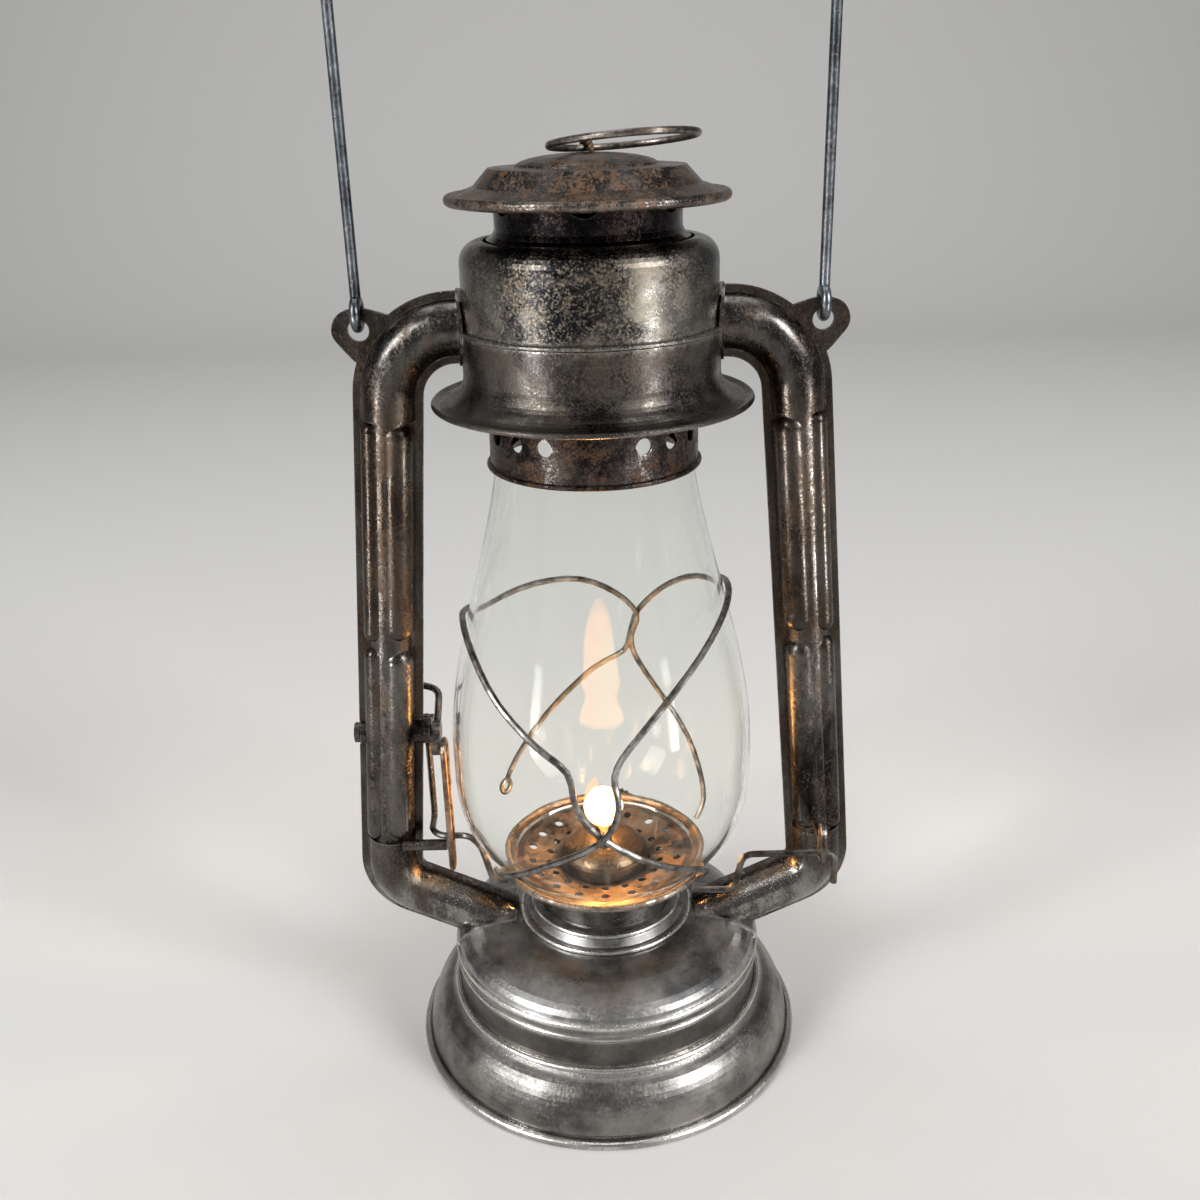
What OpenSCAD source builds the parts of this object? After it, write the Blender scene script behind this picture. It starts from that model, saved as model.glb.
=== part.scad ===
// Hurricane lantern with a lifting globe.
// Millimetres, +Z up, origin under the middle of the foot, front to -Y.

/* [Sheet and clearances] */
// Thickness of the tin sheet
sheet = 0.6; // [0.4:0.05:0.8]
// Gap between parts that are soldered or seated together
seat_gap = 0.05; // [0.02:0.01:0.1]
// Gap between parts that move past each other
run_gap = 0.4; // [0.3:0.05:0.6]
// Radial clearance of a shaft or rod in its bearing
shaft_gap = 0.08; // [0.05:0.01:0.1]

/* [Fount] */
// Outer radius of the foot
foot_r = 60; // [57:0.5:64]
// Radius of the rolled edge of the foot
foot_roll = 1.3; // [1:0.1:1.6]
// Outer radius of the tank band
band_r = 47; // [45:0.5:49]
// Height of the skirt's upper bead
skirt_z = 18.3; // [15:0.1:21]
// Radius of the skirt's upper bead
skirt_bead = 0.95; // [0.7:0.05:1.1]
// Height of the tank floor above the table
tank_floor = 5; // [4:0.5:8]
// Radius of the bend between tank floor and band
tank_bend = 4; // [3:0.5:6]
// Height of the seam between tank cup and dome
seam_z = 33; // [31:0.1:35]
// Radius of the two seam beads
seam_bead = 1; // [0.8:0.05:1.2]
// Distance of the lower seam bead below the seam
seam_step = 4.1; // [3.5:0.1:5]
// Radius at which the dome becomes flat
dome_flat_r = 24; // [22:0.5:26]
// Rise of the dome above the seam
dome_rise = 9.2; // [8:0.1:10.5]

/* [Filler] */
// Direction of the filler seen from above, in degrees from +X
filler_dir = 52; // [40:1:64]
// Distance of the filler's axis inside the tank band
filler_in = 8.5; // [7.5:0.5:10]
// Outward tilt of the filler
filler_tilt = 22; // [18:1:26]
// Outer radius of the filler neck
filler_r = 7; // [6:0.1:8]
// Height of the filler neck above the dome
filler_h = 5; // [4:0.5:7]
// Outer height of the filler cap
filler_cap_h = 6; // [5:0.5:8]

/* [Burner] */
// Radius of the collar's lower bead
collar_r = 27; // [26:0.1:28]
// Radius of the collar's upper bead
collar_ring_r = 23.3; // [22.5:0.1:24]
// Height of the collar
collar_h = 5; // [4.5:0.1:6]
// Outer radius of the burner base
burner_r = 20.4; // [19.6:0.1:21.2]
// Height of the burner base above the collar
burner_h = 12; // [11:0.1:13.5]
// Radius of the burner cone
cone_r = 13.6; // [12.8:0.1:14.4]
// Height of the burner cone above the burner base
cone_rise = 9.5; // [8:0.1:11]
// Width of the wick
wick_w = 13; // [10:0.5:14]
// Thickness of the wick
wick_t = 2.2; // [1.8:0.1:2.6]
// Height of the wick's top above the cone
wick_out = 0.5; // [0:0.1:2]
// Radius of the wick shaft
wick_shaft_r = 1.4; // [1.2:0.05:1.6]
// Tip radius of the wick sprockets
sprocket_r = 3.4; // [3:0.1:3.8]
// Height of the wick shaft above the burner base's floor
wick_shaft_h = 5.2; // [4.6:0.1:6]
// Radius of the wick knob
knob_r = 6.5; // [5.5:0.1:7]
// Thickness of the wick knob
knob_t = 3; // [2.5:0.1:4]

/* [Globe] */
// Height of the globe
globe_h = 128.4; // [122:0.1:134]
// Outer radius at the globe's foot
globe_foot_r = 29.4; // [28.5:0.1:30]
// Outer radius at the globe's belly
globe_belly_r = 44.2; // [43:0.1:45]
// Outer radius at the globe's mouth
globe_mouth_r = 26.6; // [26:0.1:27]
// Height of the belly above the globe's foot
globe_belly_h = 39.4; // [36:0.1:44]
// Glass thickness
glass = 1.8; // [1.5:0.1:2.2]
// Radius of the globe plate's rolled rim
plate_roll = 1.1; // [0.9:0.05:1.3]
// Depth of the globe plate's dish
dish_drop = 3; // [2:0.1:4]
// Number of air holes in each ring of the globe plate
plate_holes = 18; // [12:1:20]

/* [Side tubes] */
// Radius of the tube bends
tube_r = 7.3; // [6.8:0.1:7.6]
// Half width of a tube with its seam flanges
flange_r = 9.4; // [9:0.1:10]
// Radius of the leg's plain core
core_r = 6.2; // [5.8:0.1:6.5]
// Radius of the leg's broad inner panels
wide_r = 4.6; // [4.4:0.05:4.8]
// Radius of the leg's narrow outer panels
slim_r = 3; // [2.8:0.05:3.2]
// Distance of the inner panels from the middle of the leg
wide_x = 2.5; // [2.3:0.05:2.7]
// Distance of the outer panels from the middle of the leg
slim_x = 4.1; // [3.9:0.05:4.3]
// Forward shift of the inner panels
wide_y = 2.5; // [2.4:0.05:2.7]
// Forward shift of the outer panels
slim_y = 3.3; // [3.1:0.05:3.5]
// Centreline radius of the upper bend
bend_r = 18.75; // [17:0.25:21]
// Outward lean of the legs
lean = 4.5; // [3.5:0.1:5.5]
// Round length below the upper bend
neck_len = 6.6; // [5:0.1:8]
// Round length above the lower elbow
heel_len = 8.6; // [7:0.1:10]
// Width of the plain band between the panels
band_w = 1.6; // [1.2:0.1:2.5]
// Centreline radius of the lower elbow
elbow_r = 11.7; // [10.8:0.1:13]
// Height of the elbow's start above the dome
elbow_h = 19.5; // [18:0.1:21]
// Half width of the saddle on the dome
saddle_w = 8.6; // [8.2:0.1:9.4]
// Thickness of the saddles and collars at the tube ends
saddle_t = 0.7; // [0.5:0.05:0.9]

/* [Hood] */
// Outer radius of the hood dome
hood_r = 33.4; // [32.6:0.1:34.2]
// Radius of the hood skirt's rim
hood_rim_r = 43.1; // [41:0.1:45]
// Height of the hood rim above the globe's mouth
hood_over = 14.6; // [13:0.1:16]
// Height of the flared part of the hood skirt
flare_h = 7.4; // [6:0.1:9]
// Height of the tube centreline above the hood rim
arm_over = 19.2; // [17.5:0.1:21]
// Height of the hood's top above the tube centreline
hood_top_h = 22; // [20.5:0.1:24]
// Radius of the hood's top edge
hood_bend = 5.4; // [4:0.1:6.5]
// Height of the chimney guide above the tube centreline
guide_over = 10.6; // [9.6:0.1:12]

/* [Crown and cap] */
// Outer radius of the crown collar
crown_r = 28.2; // [27.8:0.1:28.8]
// Height of the crown collar above the globe seat
crown_h = 16.8; // [15.5:0.1:18]
// Overlap of the crown collar over the globe
crown_lap = 3.6; // [3:0.1:5]
// Radius of the crown collar's rolled rim
crown_roll = 0.7; // [0.5:0.05:0.9]
// Radius of the crown collar's air holes
crown_hole_r = 2.15; // [1.8:0.05:2.4]
// Angle between neighbouring air holes of a group
hole_step = 18.5; // [16:0.5:24]
// Outer radius of the chimney
chimney_r = 24; // [23.6:0.1:24.4]
// Height of the chimney flare above the hood's top
flare_over = -0.6; // [-1:0.1:1]
// Radius of the vents in the chimney
vent_r = 4.6; // [3.8:0.1:4.7]
// Direction of one vent, in degrees from +X
vent_dir = -92; // [-110:1:-80]
// Height of the cap's rim above the hood's top
cap_over = 9.9; // [8.5:0.1:12]
// Outer radius of the cap's rim
cap_r = 36.3; // [34.5:0.1:38]
// Radius of the cap's rolled rim
cap_roll = 1.4; // [1.1:0.05:1.7]
// Rise of the cap's ledge above its rim
ledge_rise = 7.2; // [6.4:0.1:8]
// Radius of the cap's middle dome
cap_dome_r = 18; // [16:0.1:20]
// Rise of the cap's middle dome above the ledge
dome_top_rise = 3.2; // [2.6:0.1:4]
// Centreline radius of the lift ring
ring_r = 17.75; // [15:0.25:19]
// Wire radius of the lift ring
ring_wire = 0.85; // [0.7:0.05:1]
// Direction of the lift ring seen from above, in degrees from +X
ring_dir = -60; // [-75:1:-45]
// Tilt at which the lift ring stands
ring_tilt = 7; // [6:1:14]
// Wire radius of the crown spring
spring_wire = 0.6; // [0.5:0.05:0.8]
// Turns of the crown spring
spring_turns = 5; // [4:0.5:6]

/* [Bail] */
// Wire radius of the bail
bail_wire = 1.4; // [1.2:0.05:1.5]
// Distance of the bail's legs from the middle
bail_x = 60.8; // [60.2:0.1:61.4]
// Length of the bail's straight legs above the ears
bail_leg = 78; // [60:1:95]
// Radius of the bail's end rings
bail_eye_r = 3.5; // [3.4:0.05:3.7]
// Radius of the holes in the ears
ear_hole_r = 2.8; // [2.7:0.05:2.9]
// Height of the ears above their holes
ear_top = 6; // [5.8:0.1:6.3]
// Reach of the ears outside their holes
ear_out = 7.4; // [6.8:0.1:8]
// Reach of the ears inside their holes
ear_in = 9; // [8.6:0.1:9.4]
// Depth of the ears below their holes
ear_low = 9.4; // [8.8:0.1:10]

/* [Globe lift] */
// Wire radius of the lift arms
arm_wire = 1; // [0.9:0.05:1.1]
// Height of the lift arms above the globe plate
arm_rise = 10.6; // [9:0.1:12]
// Distance of the right arm in front of the middle
arm_front = 20; // [19.5:0.1:20.5]
// Distance of the left arm in front of the middle
link_front = 6; // [5.5:0.1:6.5]
// Height of the lever shaft above the lift arms
lever_over = 33; // [29:0.5:36]
// Outer radius of the lever bushing
bush_r = 3.8; // [3.4:0.1:4.2]
// Radius of the lever shaft
lever_shaft_r = 1.7; // [1.5:0.05:1.9]
// Throw of the lever's crank
crank_r = 5.8; // [5.4:0.1:6.2]
// Angle of the crank below the level at rest
crank_angle = 35; // [30:1:38]
// Reach of the thumb bar behind the lever shaft
thumb_reach = 24; // [20:0.5:26]
// Sideways run of the thumb bar
thumb_side = 17; // [14:0.5:18]
// Radius of the crank pin
pin_r = 1.2; // [1.1:0.05:1.4]
// Wire radius of the lift link
link_wire = 0.9; // [0.8:0.05:1]
// Wire radius of the guard wires
guard_wire = 0.95; // [0.8:0.05:1.1]
// Gap between glass and guard wires
guard_gap = 0.5; // [0.4:0.05:0.8]

/* [Hidden] */
$fn = 48;
far = 200;
eps = 0.01;

// heights from the table up
foot_flat = 0.15;
dome_top = seam_z + dome_rise;
filler_at = band_r - filler_in;
cup_top = seam_z - seam_bead - seat_gap;
collar_top = dome_top + seat_gap + collar_h;
burner_floor = collar_top + seat_gap;
burner_top = burner_floor + burner_h;
dish_in_r = cone_r + run_gap;
seat_in_r = globe_foot_r - 4;
dish_at_burner = dish_drop * (seat_in_r - burner_r) / (seat_in_r - dish_in_r);
plate_z = burner_top + run_gap + sheet + dish_at_burner;
rim_r = globe_foot_r + run_gap + plate_roll;
rim_z = plate_z + plate_roll - sheet;
globe_z = plate_z + seat_gap;
belly_z = globe_z + globe_belly_h;
mouth_z = globe_z + globe_h;
seat_z = mouth_z + run_gap;
hood_rim_z = mouth_z + hood_over;
tube_z = hood_rim_z + arm_over;
hood_z = tube_z + hood_top_h;
guide_z = tube_z + guide_over;
shoulder_z = seat_z + crown_h;
cap_z = hood_z + cap_over;
ledge_z = cap_z + ledge_rise;
cap_top = ledge_z + dome_top_rise;
cone_top = burner_top + cone_rise;
wick_z = burner_floor + sheet + wick_shaft_h;

// side tube: bend, leg and elbow in the plane y = 0
skin_r = hood_r + seat_gap + sheet;
bend_x = skin_r + 1.8;
bend_z = tube_z - bend_r;
leg_x = bend_x + bend_r * cos(lean);
leg_z = bend_z + bend_r * sin(lean);
elbow_z = dome_top + elbow_h;
leg_len = (leg_z - elbow_z) / cos(lean);
panel_len = (leg_len - neck_len - heel_len - band_w) / 2;
heel_x = leg_x + leg_len * sin(lean);
elbow_x = heel_x - elbow_r * cos(lean);
elbow_cz = elbow_z - elbow_r * sin(lean);
arm_slope = 25.5;
elbow_end = arm_slope - 90;
run_len = elbow_x;
ear_z = tube_z - 0.2;
eye_z = ear_z + ear_hole_r + 1.45;
function leg_at(z) = leg_x + (leg_z - z) * tan(lean);

// globe lift
arm_z = plate_z + arm_rise;
lever_z = arm_z + lever_over;
lift_travel = 2 * crank_r * sin(crank_angle);
link_x = globe_belly_r + 1.4 + link_wire;
crank_x = link_x + link_wire + run_gap;
crank_t = 2.4;
bush_in = crank_x + crank_t + run_gap;
rod_x = bush_in + shaft_gap + arm_wire + 1;
rod_y = bush_r + arm_wire + 0.6;
bush_out = leg_at(lever_z) + flange_r - 0.6;
link_y = -link_front;
eye_x = leg_at(arm_z) - 1.4;
hook_x = eye_x + 3.6;
hook_y = -arm_front;

function reversed(p) = [for (i = [len(p) - 1:-1:0]) p[i]];
function arc(c, a, b, from, to, n) =
  [for (i = [0:n]) let (t = from + (to - from) * i / n) c + [a * cos(t), b * sin(t)]];
function unit(v) = v / norm(v);

// wires: a tube of the given radius along a path
function path_ends(p, closed, i) =
  closed ? p[(i + 1) % len(p)] - p[(i + len(p) - 1) % len(p)]
  : p[min(i + 1, len(p) - 1)] - p[max(i - 1, 0)];
function tangents(p, closed) = [for (i = [0:len(p) - 1]) unit(path_ends(p, closed, i))];
function normals(t, n, i = 0, done = []) =
  i == len(t) ? done
  : let (m = unit(n - (n * t[i]) * t[i])) normals(t, m, i + 1, concat(done, [m]));
function side_of(t) = abs(t[2]) < 0.9 ? [0, 0, 1] : [1, 0, 0];
module wire(p, r, closed = false, sides = 8) {
  t = tangents(p, closed);
  n = normals(t, side_of(t[0]));
  rings = len(p);
  points = [for (i = [0:rings - 1], k = [0:sides - 1])
    let (a = 360 * k / sides) p[i] + r * (cos(a) * n[i] + sin(a) * cross(t[i], n[i]))];
  spans = closed ? rings : rings - 1;
  skin = [for (i = [0:spans - 1], k = [0:sides - 1])
    let (j = (i + 1) % rings, m = (k + 1) % sides)
    each [[i * sides + k, j * sides + k, j * sides + m], [i * sides + k, j * sides + m, i * sides + m]]];
  last = (rings - 1) * sides;
  caps = closed ? [] : [for (k = [1:sides - 2]) each [[0, k, k + 1], [last, last + k + 1, last + k]]];
  polyhedron(points, concat(skin, caps), convexity = 6);
}
// a path through the points with each corner rounded
function rounded(p, r, n = 4) = concat([p[0]], [for (i = [1:len(p) - 2])
  let (c = p[i], d = min(r, norm(p[i - 1] - c) / 2.1, norm(p[i + 1] - c) / 2.1),
    a = c + d * unit(p[i - 1] - c), b = c + d * unit(p[i + 1] - c))
  each [for (k = [0:n]) let (t = k / n) (1 - t) * (1 - t) * a + 2 * t * (1 - t) * c + t * t * b]],
  [p[len(p) - 1]]);
// a smooth path through the points
function spline(p, n) = concat([for (i = [0:len(p) - 2], k = [0:n - 1])
  let (t = k / n, a = p[max(i - 1, 0)], b = p[i], c = p[i + 1], d = p[min(i + 2, len(p) - 1)])
  b + t / 2 * (c - a + t * (2 * a - 5 * b + 4 * c - d + t * (3 * b - a - 3 * c + d)))],
  [p[len(p) - 1]]);

module torus(big, small) { rotate_extrude() translate([big, 0]) circle(small); }
module along_x(x) { translate([x, 0, 0]) rotate([0, 90, 0]) children(); }

// fount
function dome_line(grow, from = 0) =
  arc([dome_flat_r, seam_z], band_r - dome_flat_r + grow, dome_rise + grow, from, 90, 10);
module dome_solid(grow) {
  rotate_extrude() polygon(concat([[0, seam_z - 14]], [[band_r + grow, seam_z - 14]],
    dome_line(grow), [[0, dome_top + grow]]));
}
module base_skirt() {
  top_r = band_r + seat_gap;
  low_r = foot_r - 2 * foot_roll + 0.3;
  roll = [foot_r - foot_roll, foot_roll - foot_flat];
  flat = asin(roll[1] / foot_roll);
  wall_z = skirt_z - 0.8;
  color("dimgray") rotate_extrude() polygon(concat(
    arc([top_r + skirt_bead, skirt_z], skirt_bead, skirt_bead, 180, -30, 10),
    arc([top_r + sheet, foot_roll], low_r - top_r - sheet, wall_z - foot_roll, 78, 8, 10),
    arc(roll, foot_roll, foot_roll, 150, -flat, 9), arc(roll, foot_roll, foot_roll, flat - 180, -195, 4),
    arc([top_r + sheet, foot_roll], low_r - top_r - 2 * sheet, wall_z - sheet - foot_roll, 6, 90, 10),
    [[top_r, wall_z - sheet]]));
}
module tank_cup() {
  c = [band_r - tank_bend, tank_floor + tank_bend];
  color("dimgray") rotate_extrude() union() {
    polygon(concat([[0, tank_floor]], arc(c, tank_bend, tank_bend, -90, 0, 6), [[band_r, cup_top]],
      [[band_r - sheet, cup_top]], arc(c, tank_bend - sheet, tank_bend - sheet, 0, -90, 6),
      [[0, tank_floor + sheet]]));
    translate([band_r + 0.7 - seam_bead, seam_z - seam_step]) circle(seam_bead);
  }
}
module filler_axis() {
  rotate([0, 0, filler_dir]) translate([filler_at, 0, dome_top - 1.6]) rotate([0, filler_tilt, 0]) children();
}
module tank_dome() {
  color("dimgray") difference() {
    rotate_extrude() polygon(concat([[burner_r - 2, dome_top]], reversed(dome_line(0, 6)),
      arc([band_r + 0.9 - seam_bead, seam_z], seam_bead, seam_bead, 85, -240, 12),
      arc([dome_flat_r, seam_z], band_r - dome_flat_r - sheet, dome_rise - sheet, 8, 90, 10),
      [[burner_r - 2, dome_top - sheet]]));
    filler_axis() cylinder(r = filler_r - sheet, h = far, center = true);
  }
}
module filler_neck() {
  color("dimgray") difference() {
    filler_axis() difference() {
      union() {
        translate([0, 0, -6]) cylinder(r = filler_r, h = 6 + filler_h);
        translate([0, 0, -6]) cylinder(r = filler_r + 2, h = 6.8);
      }
      cylinder(r = filler_r - sheet, h = far, center = true);
    }
    dome_solid(seat_gap);
  }
}
module filler_gasket() {
  color("saddlebrown") filler_axis() translate([0, 0, filler_h + seat_gap]) difference() {
    cylinder(r = filler_r, h = 1);
    translate([0, 0, -1]) cylinder(r = filler_r - 2.4, h = 3);
  }
}
module filler_cap() {
  inner = filler_r + run_gap;
  floor_z = filler_h + 1 + 2 * seat_gap;
  color("dimgray") filler_axis() difference() {
    union() {
      translate([0, 0, floor_z + 1 - filler_cap_h]) cylinder(r = inner + 1.1, h = filler_cap_h);
      for (i = [0:23]) rotate([0, 0, 15 * i]) translate([inner + 1.1, 0, floor_z + 1 - filler_cap_h])
        cylinder(r = 0.5, h = filler_cap_h - 1);
      translate([0, 0, floor_z + 1]) cylinder(r1 = inner - 1, r2 = inner - 2, h = 1);
    }
    translate([0, 0, -20]) cylinder(r = inner, h = 20 + floor_z);
  }
}

// burner
module burner_collar() {
  z = dome_top + seat_gap;
  bore = burner_r - 1.6;
  color("gray") rotate_extrude() union() {
    translate([bore, z]) square([collar_r - 0.75 - bore, 0.9]);
    intersection() {
      translate([collar_r - 0.75, z + 0.6]) circle(0.75);
      translate([0, z]) square([far, far]);
    }
    polygon([[bore, z], [collar_r - 2.4, z + 0.6], [collar_ring_r - 0.8, z + collar_h - 2.4],
      [collar_ring_r - 0.8, z + collar_h - 0.6], [burner_r + 0.5, collar_top], [bore, collar_top]]);
    translate([collar_ring_r - 0.9, z + collar_h - 1.4]) circle(0.9);
  }
}
module wick_slot(grow, h) {
  translate([0, 0, h / 2]) cube([wick_t + 2 * grow, wick_w + 2 * grow, h], center = true);
}
shaft_x = wick_t / 2 + 0.25 + sprocket_r;
module wick_axis() { translate([shaft_x, 0, wick_z]) rotate([-90, 0, 0]) children(); }
tube_wall = 0.5;
wick_gap = 0.3;
module burner_base() {
  color("peru") difference() {
    union() {
      translate([0, 0, burner_floor]) cylinder(r = burner_r, h = burner_h);
      translate([0, 0, burner_floor - 4]) cylinder(r = burner_r - 1.6 - seat_gap, h = 5);
    }
    translate([0, 0, burner_floor + sheet]) cylinder(r = burner_r - sheet, h = burner_h);
    translate([0, 0, burner_floor - 5]) cylinder(r = burner_r - 2.6, h = 5);
    translate([0, 0, burner_floor - 1]) wick_slot(wick_gap + tube_wall + seat_gap, 4);
    wick_axis() cylinder(r = wick_shaft_r + shaft_gap, h = far);
    for (i = [0:23]) rotate([0, 0, 7.5 + 15 * i]) translate([burner_r, 0, burner_floor + burner_h - 3])
      rotate([0, 90, 0]) cylinder(r = 1, h = 4, center = true);
  }
}
module wick_tube() {
  low = seam_z - 6;
  color("peru") difference() {
    translate([0, 0, low]) wick_slot(wick_gap + tube_wall, cone_top - 2 - low);
    translate([0, 0, low - 1]) wick_slot(wick_gap, far);
    wick_axis() cylinder(r = sprocket_r + run_gap, h = wick_w - 2, center = true);
  }
}
module burner_cone() {
  foot = burner_floor + sheet + seat_gap;
  lip = burner_top + 1.4;
  color("sienna") difference() {
    rotate_extrude() polygon(concat([[cone_r, foot], [cone_r, lip]],
      arc([0, lip], cone_r, cone_top - lip, 9, 90, 9), [[0, cone_top - sheet]],
      arc([0, lip], cone_r - sheet, cone_top - lip - sheet, 90, 0, 9), [[cone_r - sheet, foot]]));
    translate([0, 0, cone_top - 6]) wick_slot(1.3, 12);
    translate([shaft_x - 2.2, 0, foot - 1]) cube([4.4, far, wick_shaft_h + 3]);
    for (i = [0:11]) rotate([0, 0, 30 * i + 15]) translate([cone_r, 0, burner_top - 4])
      rotate([0, 90, 0]) cylinder(r = 1.1, h = 4, center = true);
  }
}
module wick() {
  low = tank_floor + 4;
  color("wheat") translate([0, 0, low]) wick_slot(0, cone_top + wick_out - low);
}
knob_y = burner_r + 17;
module wick_shaft() {
  color("gray") wick_axis() {
    translate([0, 0, -wick_w / 2]) cylinder(r = wick_shaft_r, h = wick_w / 2 + knob_y + knob_t);
    for (y = [-3.5, 0, 3.5]) translate([0, 0, y - 0.5]) linear_extrude(1) union() {
      circle(sprocket_r - 0.7);
      for (i = [0:9]) rotate(36 * i) polygon([[0, -0.6], [sprocket_r, 0], [0, 0.6]]);
    }
  }
}
module wick_knob() {
  color("gray") wick_axis() translate([0, 0, knob_y]) difference() {
    union() {
      cylinder(r = knob_r - 0.5, h = knob_t);
      for (i = [0:19]) rotate([0, 0, 18 * i]) translate([knob_r - 0.7, 0, 0]) cylinder(r = 0.7, h = knob_t);
    }
    translate([0, 0, -1]) cylinder(r = wick_shaft_r + eps, h = knob_t + 2);
    translate([0, 0, knob_t - 0.8]) difference() {
      cylinder(r = knob_r - 1.8, h = 2);
      translate([0, 0, -1]) cylinder(r = wick_shaft_r + 1, h = 4);
    }
  }
}

// side tubes, drawn for the front half on the right
module clip_half() { difference() { children(); translate([-far, -2 * far]) square([2 * far, 2 * far]); } }
module round_half() {
  clip_half() difference() {
    union() {
      circle(tube_r);
      translate([-flange_r, 0]) square([2 * flange_r, sheet]);
    }
    circle(tube_r - sheet);
  }
}
// closes the step between the round tube and the slimmer leg
module step_half() {
  clip_half() difference() {
    circle(tube_r - sheet / 2);
    circle(core_r - sheet);
  }
}
module pill(r, len) {
  rotate_extrude() intersection() {
    union() {
      translate([0, r]) circle(r);
      translate([0, len - r]) circle(r);
      translate([-r, r]) square([2 * r, len - 2 * r]);
    }
    square([r, len]);
  }
}
module panels(shrink) {
  pair = [[-wide_x, wide_y, wide_r], [slim_x, slim_y, slim_r]];
  for (start = [sheet / 2, panel_len + band_w + sheet / 2], p = pair)
    translate([p[0], p[1], start + shrink]) pill(p[2] - shrink, panel_len - 2 * shrink);
}
module leg() {
  len = 2 * panel_len + band_w + sheet;
  difference() {
    union() {
      cylinder(r = core_r, h = len);
      panels(0);
      translate([-flange_r, 0, 0]) cube([2 * flange_r, sheet, len]);
    }
    translate([0, 0, -1]) cylinder(r = core_r - sheet, h = len + 2);
    panels(sheet);
    translate([-far, -2 * far, -1]) cube([2 * far, 2 * far, len + 2]);
  }
}
module ear() {
  linear_extrude(sheet) difference() {
    translate([bail_x, ear_z]) polygon(rounded([[-ear_in, 0.6 * ear_top], [-0.05 * ear_top, 1.04 * ear_top],
      [0.78 * ear_out, 0.75 * ear_top], [1.04 * ear_out, -0.12 * ear_out], [0.1 * ear_out, -ear_low],
      [-ear_in, -ear_low]], 3));
    translate([bail_x, ear_z]) circle(ear_hole_r);
    translate([bend_x, bend_z]) circle(bend_r + tube_r - sheet);
  }
}
module leg_frame() { rotate([90, 0, 0]) translate([bend_x, bend_z, 0]) rotate([0, 0, lean]) children(); }
module elbow_frame() { leg_frame() translate([bend_r - elbow_r, -leg_len, 0]) children(); }
module tube_run() {
  difference() {
    elbow_frame() rotate([0, 0, elbow_end - lean]) translate([elbow_r, 0, 0]) rotate([90, 0, 0])
      linear_extrude(run_len) round_half();
    cylinder(r = collar_r + run_gap, h = far);
    dome_solid(saddle_t + seat_gap);
    translate([0, 0, seam_z]) torus(band_r + 0.9 - seam_bead, seam_bead + seat_gap);
    translate([0, 0, seam_z - seam_step]) torus(band_r + 0.7 - seam_bead, seam_bead + seat_gap);
  }
}
module tube_top() {
  difference() {
    translate([0, 0, tube_z]) rotate([90, 0, 0]) rotate([0, 90, 0]) rotate([0, 0, 90])
      linear_extrude(bend_x) round_half();
    cylinder(r = skin_r + saddle_t + seat_gap, h = far * 3);
  }
}
module tube_half() {
  tube_top();
  leg_frame() {
    rotate_extrude(angle = 90 - lean) translate([bend_r, 0]) round_half();
    translate([bend_r, 0, 0]) rotate([90, 0, 0]) {
      linear_extrude(neck_len) round_half();
      translate([0, 0, neck_len - sheet]) linear_extrude(sheet) step_half();
      translate([0, 0, neck_len - sheet / 2]) leg();
    }
    translate([bend_r, -leg_len, 0]) rotate([-90, 0, 0]) mirror([0, 1, 0]) {
      linear_extrude(heel_len) round_half();
      translate([0, 0, heel_len - sheet]) linear_extrude(sheet) step_half();
    }
  }
  elbow_frame() mirror([0, 1, 0]) rotate_extrude(angle = lean - elbow_end)
    translate([elbow_r, 0]) round_half();
  tube_run();
  rotate([90, 0, 0]) ear();
}
module bushing_hole() { translate([0, 0, lever_z]) along_x(-far) cylinder(r = bush_r + seat_gap, h = far); }
module left_tube_front() {
  color("dimgray") difference() {
    mirror([1, 0, 0]) tube_half();
    bushing_hole();
  }
}
module left_tube_rear() {
  color("dimgray") difference() {
    mirror([1, 0, 0]) mirror([0, 1, 0]) tube_half();
    bushing_hole();
  }
}
module right_tube_front() { color("dimgray") tube_half(); }
module right_tube_rear() { color("dimgray") mirror([0, 1, 0]) tube_half(); }
module tube_bore(r) {
  translate([elbow_x, 0, elbow_cz]) rotate([0, -elbow_end, 0]) translate([elbow_r, 0, 0])
    mirror([0, 0, 1]) cylinder(r = r, h = run_len);
}
module tube_saddle() {
  difference() {
    intersection() {
      dome_solid(saddle_t);
      translate([collar_r + 1, -saddle_w, seam_z + seam_bead + seat_gap]) cube([far, 2 * saddle_w, far]);
    }
    dome_solid(seat_gap);
    tube_bore(tube_r - 2);
  }
}
module left_tube_saddle() { color("dimgray") mirror([1, 0, 0]) tube_saddle(); }
module right_tube_saddle() { color("dimgray") tube_saddle(); }
tube_collar_r = flange_r + 0.6;
module tube_collar() {
  difference() {
    intersection() {
      cylinder(r = skin_r + saddle_t, h = 3 * far);
      translate([0, 0, tube_z]) along_x(0) cylinder(r = tube_collar_r, h = far);
    }
    cylinder(r = skin_r + seat_gap, h = 3 * far);
    translate([0, 0, tube_z]) along_x(0) cylinder(r = tube_r - sheet, h = far);
  }
}
module left_tube_collar() { color("dimgray") mirror([1, 0, 0]) tube_collar(); }
module right_tube_collar() { color("dimgray") tube_collar(); }

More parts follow.
